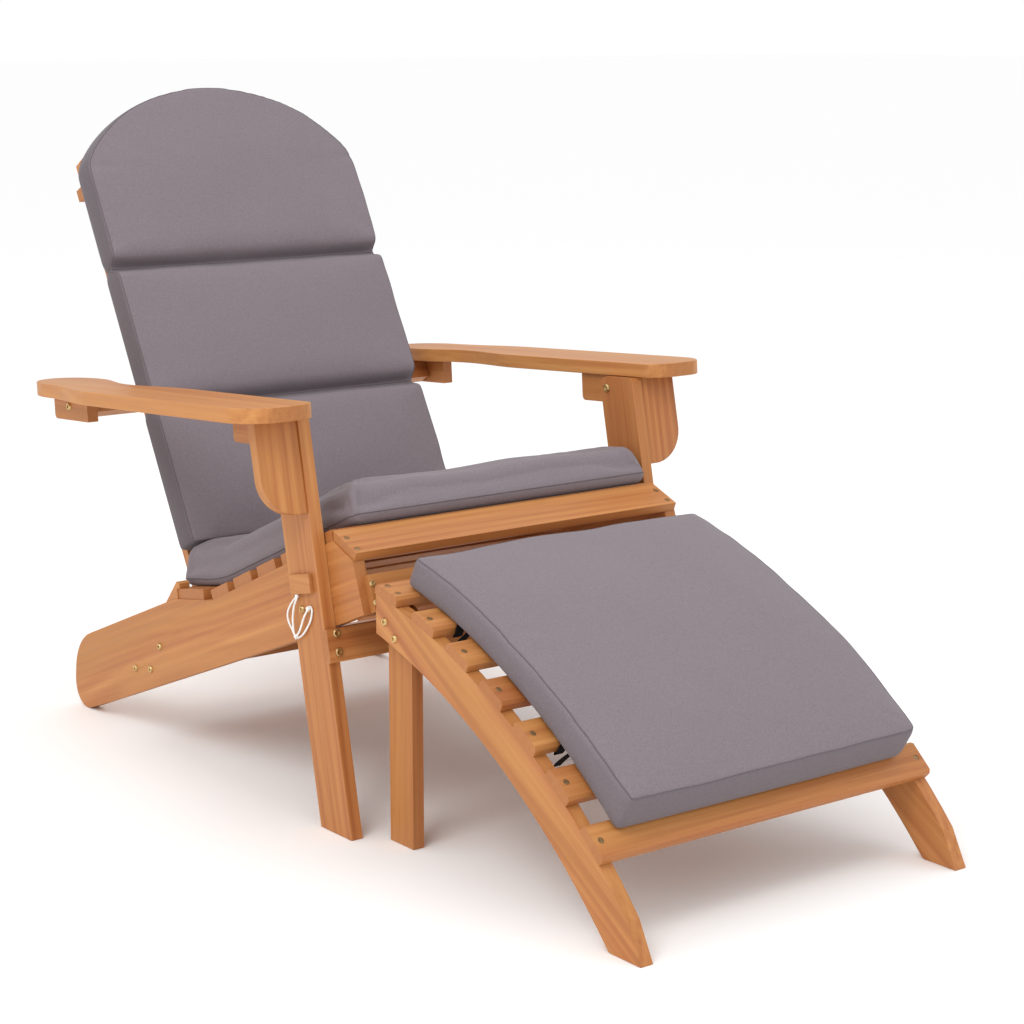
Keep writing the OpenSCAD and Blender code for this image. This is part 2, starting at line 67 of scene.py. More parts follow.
SEAT_SLOPE = math.radians(24.07)
STEP_SLOPE = math.radians(9.89)
BACK_LEAN = math.radians(28.2)
BACK_UP = np.array([math.sin(BACK_LEAN), math.cos(BACK_LEAN)])
BACK_REAR = np.array([math.cos(BACK_LEAN), -math.sin(BACK_LEAN)])
SLAT_FACE = np.array([706, 684]) * MM + 31 * MM * BACK_REAR
ARCH_CENTRE = np.array([143, -547]) * MM
LEG_AXIS = (0, math.sin(math.radians(11.88)), math.cos(math.radians(11.88)))
ARM_AXIS = (0, math.cos(math.radians(3.78)), -math.sin(math.radians(3.78)))


def in_frame(x, side):
    """Frame coordinates of arrays x and side view points (n, 2)."""
    side = np.asarray(side, float)
    return np.column_stack([np.broadcast_to(x, len(side)), side[:, 0] + FEET_Y, side[:, 1]])


def frame_point(x, y, z):
    """One point in the frame from millimetres in the side view."""
    return Vector((x * MM, y * MM + FEET_Y, z * MM))


# ---------------------------------------------------------------- camera and light


CAMERA_LENS = 83.82  # millimetres, on a 36 mm sensor
CAMERA_TURN = math.radians(-37.3663)
CAMERA_LIFT = math.radians(11.5645)
CAMERA_PLACE = (-1.9274, -2.4865 + FEET_Y, 1.0466)
FLOOR_HALF = 60
FLOOR_DROP = 0.0005  # the floor lies this far below the feet, so that their faces don't coincide


def make_camera():
    data = bpy.data.cameras.new("camera")
    data.lens, data.sensor_width = CAMERA_LENS, 36
    camera = bpy.data.objects.new("camera", data)
    bpy.context.scene.collection.objects.link(camera)
    turn, lift = CAMERA_TURN, CAMERA_LIFT
    back = Vector((math.sin(turn) * math.cos(lift), -math.cos(turn) * math.cos(lift), math.sin(lift)))
    right = Vector((0, 0, 1)).cross(back).normalized()
    camera.matrix_world = Matrix.Translation(CAMERA_PLACE) @ Matrix(
        (right, back.cross(right), back)).transposed().to_4x4()
    bpy.context.scene.camera = camera


def area_light(name, place, target, size, power, color=(1, 1, 1)):
    data = bpy.data.lights.new(name, "AREA")
    data.size, data.energy, data.color = size, power, color
    light = bpy.data.objects.new(name, data)
    bpy.context.scene.collection.objects.link(light)
    light.location = place
    light.rotation_euler = (Vector(target) - Vector(place)).to_track_quat("-Z", "Y").to_euler()


def make_studio():
    world = bpy.data.worlds.new("studio")
    world.use_nodes = True
    world.node_tree.nodes["Background"].inputs["Color"].default_value = (1, 1, 1, 1)
    world.node_tree.nodes["Background"].inputs["Strength"].default_value = 1.0
    bpy.context.scene.world = world
    bpy.context.scene.view_settings.view_transform = "Standard"
    area_light("key", (-2.4, -1.2, 3.2), (0, 0, 0.4), 1.8, 46, (1, 0.985, 0.96))
    area_light("fill", (3.0, -1.6, 2.0), (0, 0, 0.4), 2.5, 5)
    area_light("top", (0.2, 0.6, 3.6), (0, 0, 0.4), 2.5, 12)

    floor = bpy.data.meshes.new("floor")
    r = FLOOR_HALF
    floor.from_pydata([(-r, -r, 0), (r, -r, 0), (r, r, 0), (-r, r, 0)], [], [(0, 1, 2, 3)])
    floor_object = bpy.data.objects.new("floor", floor)
    bpy.context.scene.collection.objects.link(floor_object)
    pale = bpy.data.materials.new("pale_floor")
    pale.use_nodes = True
    shader = pale.node_tree.nodes["Principled BSDF"]
    shader.inputs["Base Color"].default_value = (0.985, 0.985, 0.985, 1)
    shader.inputs["Roughness"].default_value = 0.9
    shader.inputs["Specular IOR Level"].default_value = 0.1
    floor.materials.append(pale)
    floor_object.location.z = -FLOOR_DROP


make_camera()
make_studio()

# ---------------------------------------------------------------- material helpers


class Graph:
    """A material's node tree, with short calls for the nodes used here."""

    def __init__(self, name):
        self.material = bpy.data.materials.new(name)
        self.material.use_nodes = True
        self.tree = self.material.node_tree
        self.shader = self.tree.nodes["Principled BSDF"]
        coordinates = self.tree.nodes.new("ShaderNodeTexCoord")
        self.place = coordinates.outputs["Object"]

    def node(self, kind, inputs=(), **settings):
        made = self.tree.nodes.new("ShaderNode" + kind)
        for key, value in settings.items():
            setattr(made, key, value)
        for key, value in dict(inputs).items():
            if isinstance(value, bpy.types.NodeSocket):
                self.tree.links.new(value, made.inputs[key])
            else:
                made.inputs[key].default_value = value
        return made

    def math(self, operation, a, b=0.0, clamp=False):
        return self.node("Math", {0: a, 1: b}, operation=operation, use_clamp=clamp).outputs[0]

    def dot(self, vector, direction):
        return self.node("VectorMath", {0: vector, 1: direction}, operation="DOT_PRODUCT").outputs["Value"]

    def join(self, x, y, z):
        return self.node("CombineXYZ", {0: x, 1: y, 2: z}).outputs[0]

    def noise(self, vector, scale, detail=3.0, rough=0.5, w=None):
        inputs = {"Vector": vector, "Scale": scale, "Detail": detail, "Roughness": rough}
        if w is not None:
            inputs["W"] = w
        return self.node("TexNoise", inputs, noise_dimensions="4D" if w is not None else "3D").outputs["Fac"]

    def ramp(self, value, stops):
        made = self.node("ValToRGB", {"Fac": value})
        elements = made.color_ramp.elements
        while len(elements) < len(stops):
            elements.new(0.5)
        for element, (at, color) in zip(elements, stops):
            element.position, element.color = at, (*color, 1)
        return made.outputs["Color"]

    def range(self, value, low, high, to_low=0.0, to_high=1.0):
        inputs = {"Value": value, "From Min": low, "From Max": high, "To Min": to_low, "To Max": to_high}
        return self.node("MapRange", inputs).outputs["Result"]

    def mix(self, factor, a, b, blend="MIX"):
        made = self.node("Mix", {"Factor": factor}, data_type="RGBA", blend_type=blend)
        for socket, value in (("A", a), ("B", b)):
            target = next(i for i in made.inputs if i.name == socket and i.type == "RGBA")
            if isinstance(value, bpy.types.NodeSocket):
                self.tree.links.new(value, target)
            else:
                target.default_value = (*value, 1)
        return next(o for o in made.outputs if o.type == "RGBA")

    def bump(self, height, strength, distance, normal=None):
        inputs = {"Height": height, "Strength": strength, "Distance": distance}
        if normal is not None:
            inputs["Normal"] = normal
        return self.node("Bump", inputs).outputs["Normal"]

    def finish(self, color=None, roughness=None, normal=None, **uniform):
        for socket, value in (("Base Color", color), ("Roughness", roughness), ("Normal", normal)):
            if isinstance(value, bpy.types.NodeSocket):
                self.tree.links.new(value, self.shader.inputs[socket])
            elif value is not None:
                self.shader.inputs[socket].default_value = value
        for socket, value in uniform.items():
            self.shader.inputs[socket.replace("_", " ")].default_value = value
        return self.material


# ---------------------------------------------------------------- wood

RED_BROWN = (0.33, 0.098, 0.026)
PALE_HONEY = (0.66, 0.32, 0.100)
GOLDEN = (0.50, 0.232, 0.060)
SANDED_EDGE = 0.0011
PLATED_EDGE = 0.0004


def wood(name, along, tint=0.0, seed=0.0, board=None):
    """Oiled acacia whose grain runs along a direction.

    tint runs from -1, pale honey, to 1, red-brown. board, if given, is a function of the graph
    that gives a number for each board of a node with several, so that each has its own figure.
    """
    g = Graph(name)
    a = Vector(along).normalized()
    side = a.cross(Vector((0, 0, 1)) if abs(a.z) < 0.9 else Vector((0, 1, 0))).normalized()
    which = board(g) if board else None
    w = g.math("ADD", g.math("MULTIPLY", which, 3.7), seed) if board else seed
    length, wide, deep = g.dot(g.place, a), g.dot(g.place, side), g.dot(g.place, a.cross(side))

    def stretched(run, across):
        return g.join(g.math("MULTIPLY", length, run), g.math("MULTIPLY", wide, across),
                      g.math("MULTIPLY", deep, across))

    wander = g.noise(stretched(1.3, 8), 1.0, 2, 0.5, w)
    broad = g.range(g.noise(stretched(1.0, 26), 1.0, 2, 0.5, g.math("ADD", w, 11.3) if board else w + 11.3), 0.3, 0.7)
    streaks = g.range(g.noise(stretched(1.7, 120), 1.0, 4, 0.62, w), 0.3, 0.7)
    pores = g.noise(stretched(16, 640), 1.0, 2, 0.5, w)
    rings_at = g.math("ADD", g.math("ADD", g.math("MULTIPLY", wide, 62), g.math("MULTIPLY", deep, 41)),
                      g.math("MULTIPLY", wander, 6))
    rings = g.range(g.math("SINE", g.math("MULTIPLY", rings_at, 2 * math.pi)), -1, 1)

    figure = g.math("ADD", g.math("MULTIPLY", rings, 0.16), g.math("MULTIPLY", streaks, 0.50))
    figure = g.math("ADD", figure, g.math("MULTIPLY", broad, 0.34))
    color = g.ramp(figure, [
        (0.10, (0.330, 0.100, 0.026)), (0.36, (0.430, 0.152, 0.042)),
        (0.60, (0.510, 0.205, 0.060)), (0.92, (0.605, 0.280, 0.092))])
    color = g.mix(g.range(pores, 0.58, 0.74, 0, 0.35), color, (0.22, 0.066, 0.018))
    golden = g.noise(stretched(1.6, 17), 1.0, 2, 0.5, g.math("ADD", w, 5.1) if board else w + 5.1)
    color = g.mix(g.range(golden, 0.42, 0.70, 0, 0.55), color, GOLDEN)
    if tint > 0:
        color = g.mix(0.5 * tint, color, RED_BROWN)
    if tint < 0:
        color = g.mix(-0.5 * tint, color, PALE_HONEY)
    if board:
        chance = g.node("TexWhiteNoise", {"W": w}, noise_dimensions="1D").outputs["Value"]
        color = g.mix(g.range(chance, 0.3, 1, 0, 0.55), color, RED_BROWN)

    # end grain is a little darker and shows its pores as dots
    facing = g.math("ABSOLUTE", g.dot(g.node("TexCoord").outputs["Normal"], a))
    dots = g.noise(g.place, 700, 2, 0.5)
    end_color = g.mix(g.range(dots, 0.4, 0.65), (0.36, 0.130, 0.036), (0.43, 0.170, 0.050))
    color = g.mix(g.range(facing, 0.86, 1.0, 0, 0.7), color, end_color)

    height = g.math("ADD", g.math("MULTIPLY", streaks, 0.5), g.math("MULTIPLY", pores, -0.5))
    roughness = g.range(streaks, 0, 1, 0.42, 0.56)
    normal = g.bump(height, 0.22, 0.0005)
    return g.finish(color, roughness, normal, Specular_IOR_Level=0.38)


def slat_number(first, pitch, direction):
    """Numbers boards laid side by side along a direction, from their distance to the first."""
    def number(g):
        off = g.node("VectorMath", {0: g.place, 1: first}, operation="SUBTRACT").outputs[0]
        return g.math("FLOOR", g.math("DIVIDE", g.dot(off, direction), pitch))
    return number


def arch_number(first_degrees, pitch_degrees):
    """Numbers the footrest slats by their angle round the arch."""
    def number(g):
        centre = (0, ARCH_CENTRE[0] + FEET_Y, ARCH_CENTRE[1])
        off = g.node("VectorMath", {0: g.place, 1: centre}, operation="SUBTRACT").outputs[0]
        parts = g.node("SeparateXYZ", {0: off})
        angle = g.math("ARCTAN2", parts.outputs["Z"], parts.outputs["Y"])
        degrees = g.math("MULTIPLY", angle, 180 / math.pi)
        return g.math("FLOOR", g.math("DIVIDE", g.math("SUBTRACT", degrees, first_degrees), pitch_degrees))
    return number


def round_edges(node, width):
    """Small sanded edges on a CAD node's display, left to modifiers."""
    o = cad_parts[node]
    weld = o.modifiers.new("weld", "WELD")
    weld.merge_threshold = 0.00002
    flat = o.modifiers.new("flat", "DECIMATE")
    flat.decimate_type, flat.angle_limit = "DISSOLVE", math.radians(0.5)
    bevel = o.modifiers.new("edges", "BEVEL")
    bevel.width, bevel.segments, bevel.limit_method = width, 2, "ANGLE"
    bevel.angle_limit = math.radians(40)
    bevel.harden_normals = True


def dress(node, material, edge=None):
    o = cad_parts[node]
    o.data.materials.clear()
    o.data.materials.append(material)
    if edge:
        round_edges(node, edge)


RAIL_AXIS = (0, math.cos(math.radians(21.5)), -math.sin(math.radians(21.5)))
SEAT_AXIS = (0, math.cos(SEAT_SLOPE), -math.sin(SEAT_SLOPE))
BACK_AXIS = (0, BACK_UP[0], BACK_UP[1])
CROSS = (1, 0, 0)
UP = (0, 0, 1)
FOOT_RAIL_AXIS = (0, math.cos(math.radians(32)), math.sin(math.radians(32)))
FOOT_FACE = (0, math.cos(math.radians(117)), math.sin(math.radians(117)))

WOODEN = [
    # node, grain direction, tint
    ("seat_rail_right", RAIL_AXIS, 0.15), ("seat_rail_left", RAIL_AXIS, 0.4),
    ("front_apron", CROSS, 0.2), ("rear_stretchers", CROSS, 0.5),
    ("front_seat_slat", CROSS, -0.1), ("second_seat_slat", CROSS, 0.3), ("rear_seat_slat", CROSS, 0.6),
    ("back_stop_blocks", RAIL_AXIS, -0.3),
    ("front_leg_right", LEG_AXIS, 0.25), ("front_leg_left", LEG_AXIS, 0.75),
    ("leg_stretcher", CROSS, 0.2),
    ("arm_bracket_right", LEG_AXIS, -0.15), ("arm_bracket_left", LEG_AXIS, 0.1),
    ("arm_right", ARM_AXIS, -0.3), ("arm_left", ARM_AXIS, -0.15),
    ("arm_front_block_right", ARM_AXIS, 0.2), ("arm_front_block_left", ARM_AXIS, 0.5),
    ("arm_rear_block_right", ARM_AXIS, 0.25), ("arm_rear_block_left", ARM_AXIS, 0.2),
    ("back_slat_1", BACK_AXIS, 0.2), ("back_slat_2", BACK_AXIS, -0.2), ("back_slat_3", BACK_AXIS, 0.4),
    ("back_slat_4", BACK_AXIS, 0.0), ("back_slat_5", BACK_AXIS, 0.3),
    ("top_back_rail", CROSS, 0.1), ("arm_cross_rail", CROSS, 0.3),
    ("lower_back_rail", CROSS, 0.2), ("back_spacer_rail", CROSS, 0.0),
    ("lock_peg_right", ARM_AXIS, 0.0), ("lock_peg_left", ARM_AXIS, 0.2),
    ("footrest_rail_right", FOOT_RAIL_AXIS, 0.15), ("footrest_rail_left", FOOT_RAIL_AXIS, 0.2),
    ("footrest_leg_right", UP, 0.3), ("footrest_leg_left", UP, 0.35),
    ("footrest_rear_slat", CROSS, 0.1), ("footrest_front_slat", CROSS, 0.15), ("footrest_leg_bar", CROSS, 0.4),
]
for number, (node, axis, tint) in enumerate(WOODEN):
    dress(node, wood("wood_" + node, axis, tint, seed=1.9 * number), SANDED_EDGE)

SEAT_START = (0, 0.1504 + FEET_Y, 0.3492)
dress("middle_seat_slats", wood("wood_middle_seat_slats", CROSS, 0.25, 3.1,
                                slat_number(SEAT_START, 0.0695, SEAT_AXIS)), SANDED_EDGE)
dress("footrest_middle_slats", wood("wood_footrest_middle_slats", CROSS, 0.05, 7.7,
                                    arch_number(105.4, 4.85)), SANDED_EDGE)

# ---------------------------------------------------------------- metal


def metal(name, base, shade, rough, grain):
    """Plated steel, cloudy with wear. grain is the size of its mottling in metres."""
    g = Graph(name)
    cloud = g.noise(g.place, 1 / grain, 4, 0.6)
    fine = g.noise(g.place, 6 / grain, 2, 0.5)
    color = g.mix(g.range(cloud, 0.35, 0.7), base, shade)
    roughness = g.range(fine, 0.3, 0.7, rough - 0.07, rough + 0.1)
    return g.finish(color, roughness, g.bump(fine, 0.15, 0.0002), Metallic=1.0)


brass = metal("zinc_yellow", (0.70, 0.52, 0.25), (0.48, 0.30, 0.12), 0.34, 0.006)
dark_steel = metal("bronzed_screw", (0.42, 0.27, 0.13), (0.16, 0.09, 0.045), 0.45, 0.002)
for node in ("seat_frame_bolts", "stretcher_bolts", "leg_pivot_bolts", "cord_eye_screws", "arm_bolts_right",
             "arm_bolts_left", "back_hinge_pins", "footrest_bolts"):
    dress(node, brass, PLATED_EDGE)
for node in ("seat_slat_screws", "back_slat_screws", "footrest_screws"):
    dress(node, dark_steel)

# ---------------------------------------------------------------- peg cords

CORD_DIAMETER = 0.0025
CORD_OUTLINE = 1.15  # a three-strand cord measures less than the circle round its strands
KNOT_RADIUS = CORD_DIAMETER * 0.46
CORD_ROUTE = [
    (295.6, 118, 308.2), (295.8, 121, 304.5), (296.6, 129, 296.5), (297.4, 136.5, 286),
    (297.8, 138.6, 277.3), (297.8, 135.5, 268.5), (297.4, 128.6, 260.5), (296.8, 118.5, 250.6),
    (296, 106, 256.5), (295.4, 95.3, 267.5), (294.9, 87.4, 279), (294.6, 84.4, 287.5), (294.5, 83.8, 295),
    (294.6, 87.5, 298.4), (294.8, 92.2, 296), (295.6, 95, 290.5), (297.5, 99.6, 281), (299.2, 104.5, 267),
    (300, 111, 257), (300.2, 116.5, 254.5), (300.2, 120, 259), (300.2, 122, 278), (299.2, 120, 293),
    (298.2, 115.5, 303.5), (297.9, 113.5, 308.8)]


def smooth_route(points, steps):
    """Catmull-Rom curve through the given points."""
    p = np.array([points[0], *points, points[-1]], float)
    t = np.linspace(0, 1, steps, endpoint=False)[:, None]
    pieces = [0.5 * (2 * b + (c - a) * t + (2 * a - 5 * b + 4 * c - d) * t**2 + (3 * b - a - 3 * c + d) * t**3)
              for a, b, c, d in zip(p, p[1:], p[2:], p[3:])]
    return np.vstack([*pieces, p[-1:]])


def new_object(name, vertices, faces, smooth=True):
    mesh = bpy.data.meshes.new(name)
    mesh.from_pydata([tuple(v) for v in vertices], [], faces)
    mesh.update()
    if smooth:
        mesh.shade_smooth()
    made = bpy.data.objects.new(name, mesh)
    bpy.context.scene.collection.objects.link(made)
    return made


def tube(name, route, radius, sides=12, closed=False, strands=0, pitch=0.006):
    """A tube round a route, its surface twisted into strands if any are asked for."""
    route = np.asarray(route, float)
    if closed:
        tangents = np.roll(route, -1, 0) - np.roll(route, 1, 0)
        steps = np.linalg.norm(route - np.roll(route, 1, 0), axis=1)
    else:
        tangents = np.gradient(route, axis=0)
        steps = np.r_[0, np.linalg.norm(np.diff(route, axis=0), axis=1)]
    tangents /= np.linalg.norm(tangents, axis=1)[:, None]
    travelled = np.cumsum(steps)
    u = np.cross(tangents[0], [0.3, 0.2, 0.93])
    turns = 2 * math.pi * np.arange(sides) / sides
    rings = []
    for centre, along, far in zip(route, tangents, travelled):
        u = u - (u @ along) * along
        u /= np.linalg.norm(u)
        v = np.cross(along, u)
        r = radius * (1 - 0.1 * (1 - np.cos(strands * (turns - 2 * math.pi * far / pitch)))) if strands else radius
        rings.append(centre + np.outer(r * np.cos(turns), u) + np.outer(r * np.sin(turns), v))
    count = len(rings)
    faces = [(i * sides + k, i * sides + (k + 1) % sides, (i + 1) % count * sides + (k + 1) % sides,
              (i + 1) % count * sides + k) for i in range(count if closed else count - 1) for k in range(sides)]
    if not closed:
        faces += [tuple(reversed(range(sides))), tuple(range((count - 1) * sides, count * sides))]
    return new_object(name, np.vstack(rings), faces)


def cord_material():
    g = Graph("white_cord")
    fibre = g.noise(g.place, 900, 3, 0.6)
    color = g.mix(g.range(fibre, 0.3, 0.7), (0.80, 0.79, 0.77), (0.93, 0.925, 0.91))
    return g.finish(color, 0.75, g.bump(fibre, 0.4, 0.0003), Sheen_Weight=0.3)


def knot(name, centre, size, radius):
    """A small overhand knot, its cord following a trefoil."""
    turns = np.linspace(0, 2 * math.pi, 60, endpoint=False)
    curve = np.column_stack([np.sin(turns) + 2 * np.sin(2 * turns), -np.sin(3 * turns) * 1.4,
                             np.cos(turns) - 2 * np.cos(2 * turns)])
    return tube(name, np.array(centre) + curve[:, [1, 0, 2]] * size / 3, radius, 8, closed=True)


white_cord = cord_material()
for side, word in ((-1, "right"), (1, "left")):
    path = [frame_point(side * x, y, z) for x, y, z in CORD_ROUTE]
    path = smooth_route(path, 8)
    cord = tube("cord_" + word, path, CORD_DIAMETER / 2 * CORD_OUTLINE, strands=3)
    cord.data.materials.append(white_cord)
    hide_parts("peg_cord_" + word)
    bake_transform(cord)
    for place, centre, size, body in (("low", (298.4, 117.6, 252.2), 0.0026, word + "_peg"),
                                      ("eye", (298.3, 87, 296.2), 0.0026, "front_legs"),
                                      ("top", (296.8, 116.4, 307.6), 0.0020, word + "_peg")):
        at = frame_point(side * centre[0], *centre[1:])
        tie = knot("knot_%s_%s" % (place, word), at, size, KNOT_RADIUS)
        tie.data.materials.append(white_cord)
        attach(tie, body)

# ---------------------------------------------------------------- cushion cloth


def cloth(name, along, base=(0.207, 0.175, 0.193), painted_side_shade=0.0, face=(0, 0, 1)):
    """Plain-woven outdoor cloth with a slight melange; painted shade darkens its side panels.

    along is one direction of its threads, face is the way the top panel looks and painted_side_shade is
    how much painted shade darkens the panels round it.
    """
    g = Graph(name)
    a = Vector(along).normalized()
    third = Vector((1, 0, 0)).cross(a)
    spacing = 2 * math.pi / 0.0011
    warp = g.math("SINE", g.math("MULTIPLY", g.dot(g.place, (1, 0, 0)), spacing))
    weft = g.math("SINE", g.math("MULTIPLY", g.dot(g.place, a), spacing))
    depth = g.math("SINE", g.math("MULTIPLY", g.dot(g.place, third), spacing))
    weave = g.math("ADD", g.math("MULTIPLY", warp, weft), g.math("MULTIPLY", depth, 0.5))
    melange = g.noise(g.place, 380, 3, 0.6)
    mottle = g.noise(g.place, 14, 3, 0.55)
    dark = tuple(0.90 * c for c in base)
    light = tuple(min(1, 1.10 * c) for c in base)
    color = g.ramp(melange, [(0.32, dark), (0.50, base), (0.68, light)])
    color = g.mix(g.range(mottle, 0.35, 0.7, 0, 0.10), color, tuple(0.88 * c for c in base))
    # painted shade: panels that turn away from the top panel are darkened towards a fifth of the base colour
    flatness = g.math("ABSOLUTE", g.dot(g.node("TexCoord").outputs["Normal"], face))
    color = g.mix(g.range(flatness, 0.35, 0.70, painted_side_shade, 0), color, tuple(0.2 * c for c in base))
    height = g.math("ADD", g.math("MULTIPLY", weave, 0.35), melange)
    return g.finish(color, g.range(melange, 0.3, 0.7, 0.82, 0.95), g.bump(height, 0.14, 0.0004),
                    Sheen_Weight=0.15, Sheen_Roughness=0.45, Specular_IOR_Level=0.2)


# ---------------------------------------------------------------- cushions


def rounded_outline(half_width, length, corner, bow, count=14):
    """Rectangle in (x, s) with round corners, its sides pulled in by bow at their middles."""
    corners = [(half_width - corner, corner, -90), (half_width - corner, length - corner, 0),
               (corner - half_width, length - corner, 90), (corner - half_width, corner, 180)]
    points = []
    for cx, cs, start in corners:
        for k in range(count + 1):
            angle = math.radians(start + 90 * k / count)
            points.append((cx + corner * math.cos(angle), cs + corner * math.sin(angle)))
    points = resample(np.array(points), 0.006)
    across = 1 - (points[:, 0] / half_width) ** 2
    down = 1 - ((points[:, 1] - length / 2) / (length / 2)) ** 2
    points[:, 0] -= np.sign(points[:, 0]) * bow * np.clip(down, 0, 1) * (np.abs(points[:, 0]) > half_width * 0.93)
    ends = (points[:, 1] < length * 0.06) | (points[:, 1] > length * 0.94)
    points[:, 1] += np.where(points[:, 1] < length / 2, 1, -1) * bow * np.clip(across, 0, 1) * ends
    return points


def resample(points, step):
    """A closed outline with even spacing."""
    closed = np.vstack([points, points[:1]])
    run = np.r_[0, np.cumsum(np.linalg.norm(np.diff(closed, axis=0), axis=1))]
    at = np.linspace(0, run[-1], max(8, int(run[-1] / step)), endpoint=False)
    return np.column_stack([np.interp(at, run, closed[:, i]) for i in range(closed.shape[1])])


def distance_to_outline(points, outline):
    """Distance from each 2D point to a closed polyline."""
    a, b = outline, np.roll(outline, -1, 0)
    best = np.full(len(points), 1e9)
    for p, q in zip(a, b):
        d = q - p
        t = np.clip(((points - p) @ d) / max(d @ d, 1e-12), 0, 1)
        best = np.minimum(best, np.linalg.norm(points - p - t[:, None] * d, axis=1))
    return best


def get_points(mesh):
    points = np.empty(len(mesh.vertices) * 3)
    mesh.vertices.foreach_get("co", points)
    return points.reshape(-1, 3)


def set_points(mesh, points):
    mesh.vertices.foreach_set("co", np.asarray(points, np.float32).ravel())
    mesh.update()


def waves(points, seed, scale):
    """Smooth noise between -1 and 1 that is the same on every run."""
    rng = np.random.default_rng(seed)
    total = np.zeros(len(points))
    for _ in range(9):
        direction = rng.normal(size=3)
        direction *= rng.uniform(0.6, 1.6) / np.linalg.norm(direction) / scale
        total += np.sin(2 * math.pi * points @ direction + rng.uniform(0, 2 * math.pi))
    return total / 4.5


def apply_modifiers(o):
    bpy.context.view_layer.update()
    evaluated = o.evaluated_get(bpy.context.evaluated_depsgraph_get())
    mesh = bpy.data.meshes.new_from_object(evaluated)
    old = o.data
    o.modifiers.clear()
    o.data = mesh
    bpy.data.meshes.remove(old)


CLOTH_STEPS = 20


def inflate(pad, pinned, cap, pressure):
    """Swells a pad with cloth pressure, its pinned seam points held, and no point moved beyond cap."""
    rest = get_points(pad.data)
    group = pad.vertex_groups.new(name="seams")
    group.add([int(i) for i in np.flatnonzero(pinned)], 1.0, "REPLACE")
    modifier = pad.modifiers.new("stuffing", "CLOTH")
    settings = modifier.settings
    settings.quality = 4
    settings.mass = 0.2
    settings.tension_stiffness = settings.compression_stiffness = 22
    settings.shear_stiffness = 12
    settings.bending_stiffness = 0.6
    settings.use_pressure, settings.uniform_pressure_force = True, pressure
    settings.vertex_group_mass = "seams"
    settings.effector_weights.gravity = 0
    modifier.collision_settings.use_collision = False
    scene = bpy.context.scene
    scene.frame_start, scene.frame_end = 1, CLOTH_STEPS
    for step in range(1, CLOTH_STEPS + 1):
        scene.frame_set(step)
    apply_modifiers(pad)
    moved = get_points(pad.data) - rest
    length = np.linalg.norm(moved, axis=1)
    moved *= np.minimum(1, cap / np.maximum(length, 1e-9))[:, None]
    scene.frame_set(1)
    set_points(pad.data, rest + moved)
    pad.vertex_groups.clear()


def inset(outline, by):
    """A closed anticlockwise outline moved inward."""
    along = np.roll(outline, -1, 0) - np.roll(outline, 1, 0)
    along /= np.linalg.norm(along, axis=1)[:, None]
    return outline - by * np.column_stack([along[:, 1], -along[:, 0]])


CHANNEL_WIDTH = 0.0085
CHANNEL_DEPTH = 0.66  # as a share of the cushion's thickness
CHANNEL_GATHER = 0.004  # how far a channel draws the sides in
TUCK_DEPTH, TUCK_WIDTH = 0.0030, 0.006
PUCKER_REACH = 0.03  # how far puckers run in from a seam
STITCH_RADIUS = 0.0009


def ridge(x, width):
    return np.exp(-(x / width) ** 2)


